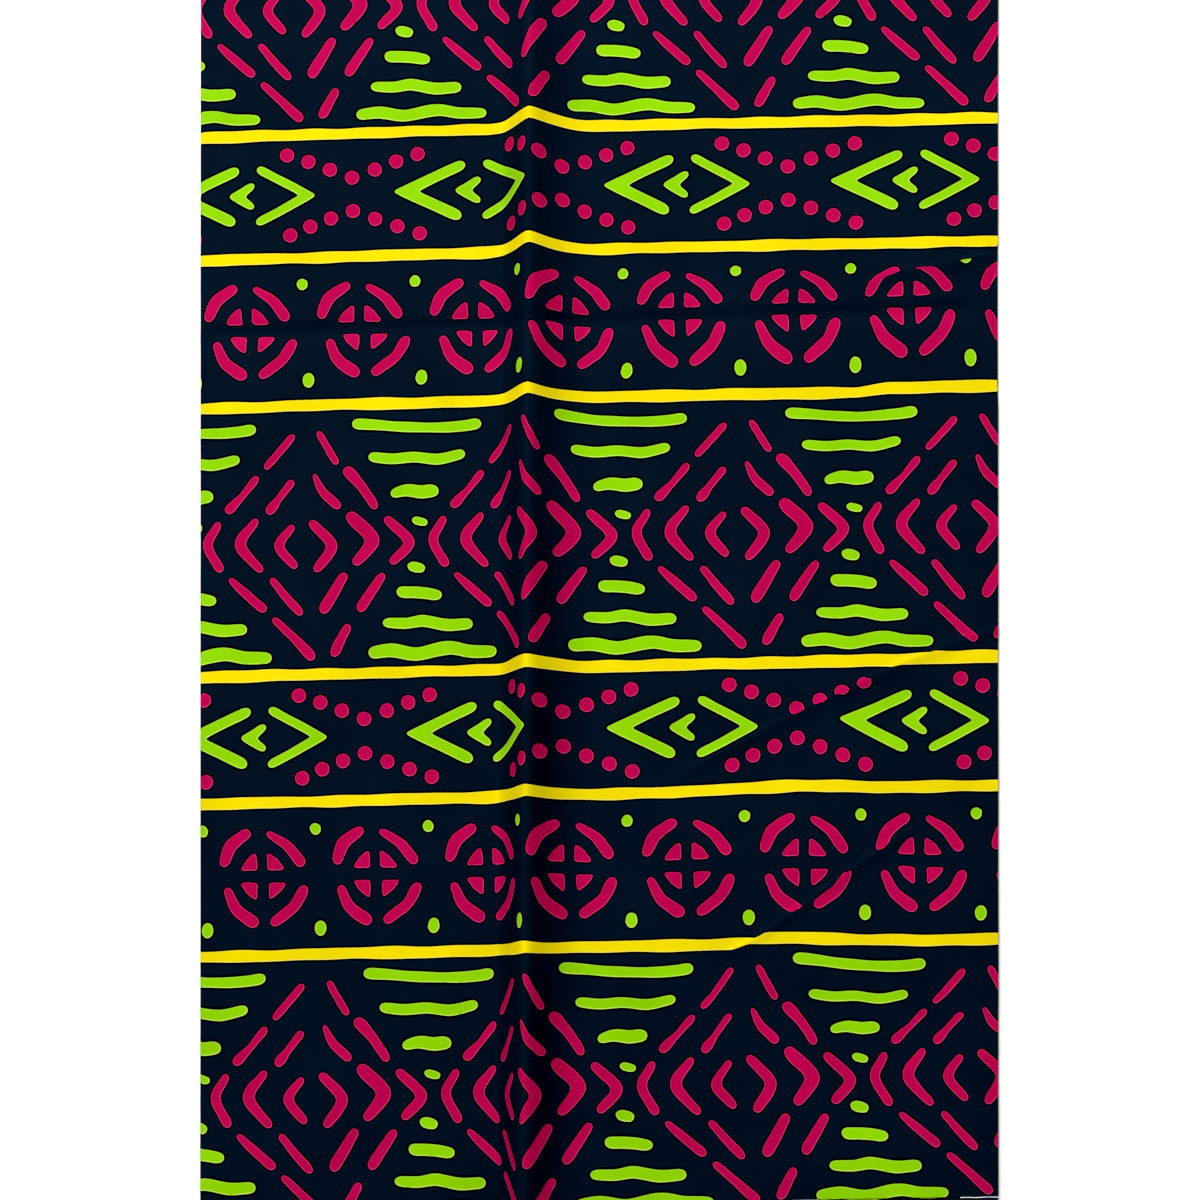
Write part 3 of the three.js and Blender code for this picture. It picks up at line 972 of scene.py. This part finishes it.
def tuck_points(step):
    """Rows of points that follow the tucks and the crease across."""
    points = []
    for fold in FOLD_LINES.values():
        start, end = fold["ends"]
        x = np.arange(start, min(end, HALF_WIDTH_MIDDLE - 3), step)
        y = on_line(fold, x)
        s = along_cloth(x, y)
        for offset in TROUGH_ROWS if fold["lift"] < 0 else LIP_ROWS:
            points.extend(zip(s, y + offset))
    return points


def fill_points(layer, spacing):
    return rows_across(layer, spacing["flat"], spacing["ridge"]) + tuck_points(spacing["tucks"])


def roll_points(layer):
    points = []
    t = np.arange(-PANEL_LENGTH / 2 + 6, layer.far_t - 1, ROLL_SPACING)
    left = layer.left_s(t)
    for past in ROLL_ROWS:
        points.extend(zip(left - past, t))
        points.extend((s, layer.far_t + past) for s in np.arange(-240, 340, ROLL_SPACING))
    return points


def top_boundary(layer, dice):
    """Outline of the top layer on the flat cloth, anticlockwise from the near left corner."""
    near, far = UNDER_ENDS_SHOW - PANEL_LENGTH / 2, layer.far_t
    count = TOP_EDGE_POINTS
    left_near = at_one(layer.left_s, near) - ROLL_PATH
    right_near = at_one(layer.right_s, near + CUT_END_SKEW - 1)  # the cut end lies askew
    s = np.linspace(left_near, right_near, count["cut_end"])
    t = layer.near_t(s)
    fray = np.array([dice.uniform(-0.25, 0.25) for _ in s])
    fray[[0, -1]] = 0
    front = np.column_stack((s, t + fray))
    t = np.linspace(t[-1], far, count["sides"])[1:]
    right = np.column_stack((layer.right_s(t), t))
    corner_s = at_one(layer.left_s, far)
    s = np.linspace(right[-1][0], corner_s, count["fold"])
    back = np.column_stack((s, np.full_like(s, far + ROLL_PATH)))
    turn = np.linspace(0, math.pi / 2, 5)[1:]
    corner = np.array((corner_s, far)) + ROLL_PATH * np.column_stack((-np.sin(turn), np.cos(turn)))
    t = np.linspace(far, front[0][1], count["sides"])[1:-1]
    left = np.column_stack((layer.left_s(t) - ROLL_PATH, t))
    return np.vstack((front, right, back, corner, left))


def near_panel(s, t):
    return (np.abs(t) < REACH_T) & (s > REACH_S[0]) & (s < REACH_S[1])


def on_layer(layer, sheet):
    """The sheet's points in space and their normals."""
    s, t = sheet.flat.T
    return layer.points(s, t), normals_of(layer.points, s, t)


def make_top_layer(cloth, printing, materials):
    """The printed face, a plain underside one thickness below it, and the edge between."""
    layer = TopLayer(cloth.ripple / MM)
    boundary = top_boundary(layer, random.Random(3))
    marks = marks_on_cloth(printing, near_panel)
    face = FlatSheet(boundary, marks, fill_points(layer, SHOWN) + roll_points(layer))
    shell = Shell()
    places, upward = on_layer(layer, face)
    ids = shell.add_points(places, upward, face.rim, face.halo)
    shell.add_sheet(face, ids)
    edge = np.array(face.edge)
    back = FlatSheet(face.flat[edge], [], fill_points(layer, HIDDEN))
    thickness = cloth.thickness / MM
    back_places, back_upward = on_layer(layer, back)
    under = shell.add_points(back_places - back_upward * thickness, -back_upward)
    shell.add_sheet(back, under, underside=True)
    out = outward(places[edge, :2])
    out = np.column_stack((out, np.zeros(len(out))))
    middle = places[edge] - upward[edge] * thickness / 2 + out * EDGE_BULGE
    middle = shell.add_points(middle, out)
    corners = layout_of(face.flat[edge])
    shell.join(ids[edge], middle, corners)
    shell.join(middle, under[back.boundary], corners)
    return shell.mesh("top_layer_cloth", materials)


class UnderLayers(TopLayer):
    """The same for the upper face of the layers below, which has no rolls of its own."""

    far_t = PANEL_LENGTH / 2 - ROLL_OUT - ROLL_INSET
    cut_end_in = UNDER_CUT_END_IN

    def left_s(self, t):
        return along_cloth(ROLL_OUT + ROLL_INSET - half_width(t), t)

    def right_s(self, t):
        return along_cloth(half_width(t) - UNDER_SELVEDGE_IN, t)

    def points(self, s, t):
        def face(s, t):
            x, y = plan_of(s, t)
            return np.column_stack((x, y, top_height(x, y, self.ripple)))

        return face(s, t) - normals_of(face, s, t) * UNDER_DEPTH


def under_boundary(layer):
    """Outline of the layers below, with each point's outward direction and 1 for a cut edge."""
    near, far = -PANEL_LENGTH / 2, layer.far_t
    count = UNDER_EDGE_POINTS
    left_near = at_one(layer.left_s, near + UNDER_CUT_END_IN)
    right_near = at_one(layer.right_s, near + CUT_END_SKEW)
    s = np.linspace(left_near, right_near, count["cut_end"])
    front = np.column_stack((s, layer.near_t(s)))
    t = np.linspace(front[-1][1], far, count["sides"])[1:]
    right = np.column_stack((layer.right_s(t), t))
    s = np.linspace(right[-1][0], at_one(layer.left_s, far), count["fold"])[1:]
    back = np.column_stack((s, np.full_like(s, far)))
    t = np.linspace(far, front[0][1], count["sides"])[1:-1]
    left = np.column_stack((layer.left_s(t), t))
    loop = np.vstack((front, right, back, left))
    sides = ((front, (0, -1)), (right, (1, 0)), (back, (0, 1)), (left, (-1, 0)))
    out = np.vstack([np.tile(direction, (len(side), 1)) for side, direction in sides])
    out = out.astype(float)
    cut = np.concatenate((np.ones(len(front) + len(right)), np.zeros(len(back) + len(left))))
    half = math.sqrt(0.5)
    last_front, last_right = len(front) - 1, len(front) + len(right) - 1
    last_back = last_right + len(back)
    out[0], cut[0] = (-half, -half), 1
    out[last_front] = (half, -half)
    out[last_right], cut[last_right] = (half, half), 0.5
    out[last_back] = (-half, half)
    return loop, out, cut


def ring_points(ring, places, out, cut):
    """One ring of points round the layers below, between its shape at a fold and at a cut."""
    reach = lerp(ring["fold_out"], ring["cut_out"], cut)[:, None]
    if "z" in ring:
        height = np.full(len(places), ring["z"])
    else:
        height = places[:, 2] - lerp(ring["fold_drop"], ring["cut_drop"], cut)
    return np.column_stack((places[:, :2] + out * reach, height))


def ring_normals(before, after, out):
    """Normals square to the way from ring to ring, and outwards."""
    step = unit(after - before + 1e-9)
    tilt = np.column_stack((out, np.zeros(len(out))))
    return unit(np.cross(np.cross(step, tilt), step) + 1e-6)


def make_under_layers(cloth, printing, materials):
    """The face of the layers below, rings down its stepped and rolled edges, and its base."""
    layer = UnderLayers(cloth.ripple / MM)
    boundary, directions, cuts = under_boundary(layer)

    def shows(s, t):
        in_nick = (s > NICK_STRIP_FROM) & (t > NICK_STRIP_T[0]) & (t < NICK_STRIP_T[1])
        return ((t < NEAR_STRIP_TO) | in_nick) & near_panel(s, t)

    marks = [mark for mark in marks_on_cloth(printing, shows) if mark.ink != YELLOW]
    face = FlatSheet(boundary, marks, fill_points(layer, HIDDEN))
    shell = Shell()
    places, upward = on_layer(layer, face)
    ids = shell.add_points(places, upward, face.rim, face.halo)
    shell.add_sheet(face, ids)
    edge = np.array(face.edge)
    tree = nearest_of(boundary)
    nearest = [tree.find((*face.flat[v], 0))[1] for v in edge]
    out, cut = directions[nearest], cuts[nearest]
    rings = [ring_points(ring, places[edge], out, cut) for ring in UNDER_RINGS + FOOT_RINGS]
    corners = layout_of(face.flat[edge])
    upper, before = ids[edge], places[edge]
    for ring, after in zip(rings, rings[1:]):
        lower = shell.add_points(ring, ring_normals(before, after, out))
        shell.join(upper, lower, corners)
        upper, before = lower, ring
    foot = rings[-1]
    down = np.array((0, 0, -1.0))
    lower = shell.add_points(foot, unit(np.column_stack((out, np.zeros(len(out)))) + down))
    shell.join(upper, lower, corners)
    grid = [
        (x, y)
        for x in np.arange(-260, 261, BASE_SPACING)
        for y in np.arange(-430, 431, BASE_SPACING)
    ]
    base = FlatSheet(foot[:, :2], [], grid)
    below = np.column_stack((base.flat, np.zeros(len(base.flat))))
    bottom = shell.add_points(below, np.tile(down, (len(below), 1)))
    bottom[base.boundary] = lower
    shell.add_sheet(base, bottom, underside=True)
    return shell.mesh("under_layers_cloth", materials)


THREADS = (  # start x, end x and how far each lies in front of the top layer's cut end
    (9, 88, 0.1),
    (14, 60, -0.4),
    (138, 157, 0.2),
    (259, 289, 0.1),
    (-212, -180, 0.3),
    (-96, -71, -0.2),
)


def thread_points(start, end, front, radius, dice):
    """Points of a thread that lies along the cut end."""
    x = np.linspace(start, end, max(6, int((end - start) / 3)))
    wave = np.array([dice.uniform(-0.5, 0.5) for _ in x])
    wave = softened(wave[:, None])[:, 0]
    y = cut_end_y(x) + UNDER_ENDS_SHOW - front - 0.6 + wave
    z = top_height(x, y, 0) - UNDER_DEPTH + radius
    return np.column_stack((x, y, z))


# ---------------------------------------------------------------- materials


def add_node(tree, kind, settings=None, links=None):
    """Adds a node, sets its properties and inputs, and links its inputs, by name or number."""
    node = tree.nodes.new(kind)
    for name, value in (settings or {}).items():
        if isinstance(name, str) and name in node.bl_rna.properties:
            setattr(node, name, value)
        else:
            node.inputs[name].default_value = value
    for name, socket in (links or {}).items():
        tree.links.new(socket, node.inputs[name])
    return node


def opaque(colour):
    return (*colour, 1.0)


def noise_scale(size):
    """A noise texture's scale for patches of this many millimetres."""
    return 1 / (size * MM)


def ink_material(name, colour, edge_colour, edge_attribute, edge_share):
    """Plain-woven cotton dyed through: matt, a little uneven in depth of colour, with an edge that
    is lighter inside a mark, partly as a painted highlight, and darker just outside it."""
    material = bpy.data.materials.new(name)
    material.use_nodes = True
    tree = material.node_tree
    tree.nodes.clear()
    place = {"Vector": add_node(tree, "ShaderNodeTexCoord").outputs["Object"]}
    depth = add_node(
        tree,
        "ShaderNodeTexNoise",
        {"Scale": noise_scale(DYE_PATCH), "Detail": 3.0, "Roughness": 0.6},
        place,
    )
    spread = add_node(
        tree,
        "ShaderNodeMapRange",
        {"From Min": 0.25, "From Max": 0.75, "To Min": 0.9, "To Max": 1.1},
        {"Value": depth.outputs["Fac"]},
    )
    shade = add_node(
        tree,
        "ShaderNodeVectorMath",
        {"operation": "SCALE", 0: colour},
        {"Scale": spread.outputs["Result"]},
    )
    edge = add_node(tree, "ShaderNodeAttribute", {"attribute_name": edge_attribute})
    share = add_node(
        tree,
        "ShaderNodeMath",
        {"operation": "MULTIPLY", "use_clamp": True, 1: edge_share},
        {0: edge.outputs["Fac"]},
    )
    mixed = add_node(
        tree,
        "ShaderNodeMix",
        {"data_type": "RGBA", 7: opaque(edge_colour)},
        {0: share.outputs[0], 6: shade.outputs[0]},
    )
    weave_scale = noise_scale(3 * THREAD_SPACING)
    weave = add_node(tree, "ShaderNodeTexNoise", {"Scale": weave_scale, "Detail": 1.0}, place)
    bump = add_node(
        tree,
        "ShaderNodeBump",
        {"Strength": 0.25, "Distance": 0.0001},
        {"Height": weave.outputs["Fac"]},
    )
    shader = add_node(
        tree,
        "ShaderNodeBsdfPrincipled",
        {"Roughness": 0.8, "Specular IOR Level": 0.02, "IOR": 1.5},
        {"Base Color": mixed.outputs[2], "Normal": bump.outputs[0]},
    )
    add_node(tree, "ShaderNodeOutputMaterial", None, {"Surface": shader.outputs[0]})
    return material


def print_materials(printing):
    # The pale edge colours of crimson, lime and yellow come in through the rim attribute, which
    # holds a painted highlight on the edges that face the lower right.
    return [
        ink_material("cotton_dyed_navy", printing.ground, linear("#000307"), "halo", 1.8),
        ink_material("cotton_dyed_crimson", printing.crimson, linear("#e0588f"), "rim", 0.9),
        ink_material("cotton_dyed_lime", printing.lime, linear("#d2f074"), "rim", 1.0),
        ink_material("cotton_dyed_yellow", printing.yellow, linear("#f0e787"), "rim", 0.8),
    ]


def thread_material():
    """Raw cotton thread: off-white, matt and soft, with paler slubs along it."""
    material = bpy.data.materials.new("cotton_raw_thread")
    material.use_nodes = True
    tree = material.node_tree
    shader = tree.nodes["Principled BSDF"]
    shader.inputs["Roughness"].default_value = 0.85
    shader.inputs["Specular IOR Level"].default_value = 0.2
    place = {"Vector": add_node(tree, "ShaderNodeTexCoord").outputs["Object"]}
    noise = add_node(tree, "ShaderNodeTexNoise", {"Scale": noise_scale(THREAD_SLUB)}, place)
    ramp = add_node(tree, "ShaderNodeValToRGB", None, {"Fac": noise.outputs["Fac"]})
    ramp.color_ramp.elements[0].color = opaque(linear("#dedad2"))
    ramp.color_ramp.elements[1].color = opaque(linear("#ffffff"))
    tree.links.new(ramp.outputs[0], shader.inputs["Base Color"])
    return material


# ---------------------------------------------------------------- stage

FLOOR_SIZE, FLOOR_DROP = 14, 0.0003
LIGHTS = (  # name, place, size and power
    ("key_light", (-0.8, 2.4, 3.9), 1.2, 245),
    ("fill_light", (-2.6, -1.6, 3.4), 2.6, 12),
)
WORLD_STRENGTH = 0.22
BLACK_LEVEL = (0.0035, 0.008, 0.013)  # makes the blacks in the creases deep
LOOKED_AT = (0.73, -14.8)  # millimetres from the panel's own middle


def make_floor(stage):
    """Matt white paper, which takes a soft shadow and gives no shine."""
    bpy.ops.mesh.primitive_plane_add(size=FLOOR_SIZE, location=(0, 0, -FLOOR_DROP))
    floor = bpy.context.object
    floor.name = "floor"
    paper = bpy.data.materials.new("paper_white_matt")
    paper.use_nodes = True
    shader = paper.node_tree.nodes["Principled BSDF"]
    shader.inputs["Base Color"].default_value = opaque(stage.floor)
    shader.inputs["Roughness"].default_value = 0.9
    shader.inputs["Specular IOR Level"].default_value = 0.1
    floor.data.materials.append(paper)


def add_light(name, place, size, power):
    bpy.ops.object.light_add(type="AREA", location=place)
    light = bpy.context.object
    light.name = name
    light.data.size = size
    light.data.energy = power
    light.rotation_euler = (-Vector(place)).to_track_quat("-Z", "Y").to_euler()


def make_world(scene):
    world = bpy.data.worlds.new("studio_world")
    world.use_nodes = True
    background = world.node_tree.nodes["Background"]
    background.inputs["Color"].default_value = (1, 1, 1, 1)
    background.inputs["Strength"].default_value = WORLD_STRENGTH
    scene.world = world


def set_view(view):
    view.view_transform = "Standard"
    view.use_curve_mapping = True
    view.curve_mapping.black_level = BLACK_LEVEL
    view.curve_mapping.update()


def make_camera(scene, stage):
    target = Vector((LOOKED_AT[0] + CENTRE[0], LOOKED_AT[1] + CENTRE[1], 0)) * MM
    direction = Vector((0, math.cos(stage.elevation), -math.sin(stage.elevation)))
    bpy.ops.object.camera_add(location=target - direction * stage.distance)
    camera = bpy.context.object
    camera.name = "camera"
    camera.rotation_euler = (math.pi / 2 - stage.elevation, 0, 0)
    camera.data.lens = stage.lens
    camera.data.sensor_width = 36
    camera.data.clip_end = 30
    scene.camera = camera


# ---------------------------------------------------------------- operators


class ClothOperator(bpy.types.Operator):
    """Base of the operators that build the cloth."""

    bl_options = {"REGISTER", "UNDO"}

    def settings(self, context):
        scene = context.scene
        return scene.cloth_settings, scene.print_settings


class CLOTH_OT_top_layer(ClothOperator):
    """Builds the printed top layer with its creases and rolled edges"""

    bl_idname = "cloth.top_layer"
    bl_label = "Top layer"

    def execute(self, context):
        bpy.ops.object.select_all(action="DESELECT")
        cloth, printing = self.settings(context)
        piece = make_top_layer(cloth, printing, print_materials(printing))
        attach(piece, "root")
        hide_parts("top_layer")
        return {"FINISHED"}


class CLOTH_OT_under_layers(ClothOperator):
    """Builds the layers below, stepped at their cut ends and rolled at the folds"""

    bl_idname = "cloth.under_layers"
    bl_label = "Layers below"

    def execute(self, context):
        cloth, printing = self.settings(context)
        top = bpy.data.objects["top_layer_cloth"]
        piece = make_under_layers(cloth, printing, list(top.data.materials))
        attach(piece, "root")
        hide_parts("under_layers")
        return {"FINISHED"}


class CLOTH_OT_loose_threads(ClothOperator):
    """Builds the pale threads that have come loose along the cut end"""

    bl_idname = "cloth.loose_threads"
    bl_label = "Loose threads"

    def execute(self, context):
        bpy.ops.object.select_all(action="DESELECT")
        cloth, _ = self.settings(context)
        radius = cloth.thread / MM / 2
        dice = random.Random(11)
        curve = bpy.data.curves.new("loose_threads", "CURVE")
        curve.dimensions = "3D"
        curve.bevel_depth = radius * MM
        curve.bevel_resolution = 1
        curve.use_fill_caps = True
        curve.resolution_u = 3
        for start, end, front in THREADS:
            path = thread_points(start, end, front, radius, dice)
            path[:, :2] += CENTRE
            spline = curve.splines.new("NURBS")
            spline.points.add(len(path) - 1)
            for point, place in zip(spline.points, path * MM):
                point.co = (*place, 1.0)
            spline.use_endpoint_u = True
            spline.order_u = 3
        piece = bpy.data.objects.new("loose_threads", curve)
        context.collection.objects.link(piece)
        piece.select_set(True)
        context.view_layer.objects.active = piece
        bpy.ops.object.convert(target="MESH")
        piece = context.view_layer.objects.active
        piece.data.materials.append(thread_material())
        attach(piece, "root")
        return {"FINISHED"}


class CLOTH_OT_stage(bpy.types.Operator):
    """Builds the floor, the soft lights and the camera"""

    bl_idname = "cloth.stage"
    bl_label = "Stage"
    bl_options = {"REGISTER", "UNDO"}

    def execute(self, context):
        scene = context.scene
        bpy.ops.object.select_all(action="DESELECT")
        make_floor(scene.stage_settings)
        for light in LIGHTS:
            add_light(*light)
        make_world(scene)
        set_view(scene.view_settings)
        make_camera(scene, scene.stage_settings)
        return {"FINISHED"}


class CLOTH_PT_panel(bpy.types.Panel):
    bl_idname = "CLOTH_PT_panel"
    bl_label = "Printed Cloth"
    bl_space_type = "VIEW_3D"
    bl_region_type = "UI"
    bl_category = "Printed Cloth"

    def draw(self, context):
        for group in (
            context.scene.cloth_settings,
            context.scene.print_settings,
            context.scene.stage_settings,
        ):
            box = self.layout.box()
            for name in group.__annotations__:
                box.prop(group, name)
        for operator in OPERATORS:
            self.layout.operator(operator.bl_idname)


OPERATORS = (
    CLOTH_OT_stage,
    CLOTH_OT_top_layer,
    CLOTH_OT_under_layers,
    CLOTH_OT_loose_threads,
)
CLASSES = (PrintSettings, ClothSettings, StageSettings, *OPERATORS, CLOTH_PT_panel)


def register():
    for item in CLASSES:
        bpy.utils.register_class(item)
    bpy.types.Scene.print_settings = PointerProperty(type=PrintSettings)
    bpy.types.Scene.cloth_settings = PointerProperty(type=ClothSettings)
    bpy.types.Scene.stage_settings = PointerProperty(type=StageSettings)


def unregister():
    del bpy.types.Scene.stage_settings
    del bpy.types.Scene.cloth_settings
    del bpy.types.Scene.print_settings
    for item in reversed(CLASSES):
        bpy.utils.unregister_class(item)


def main():
    register()
    bpy.ops.cloth.stage()
    bpy.ops.cloth.top_layer()
    bpy.ops.cloth.under_layers()
    bpy.ops.cloth.loose_threads()


if __name__ == "__main__":
    main()
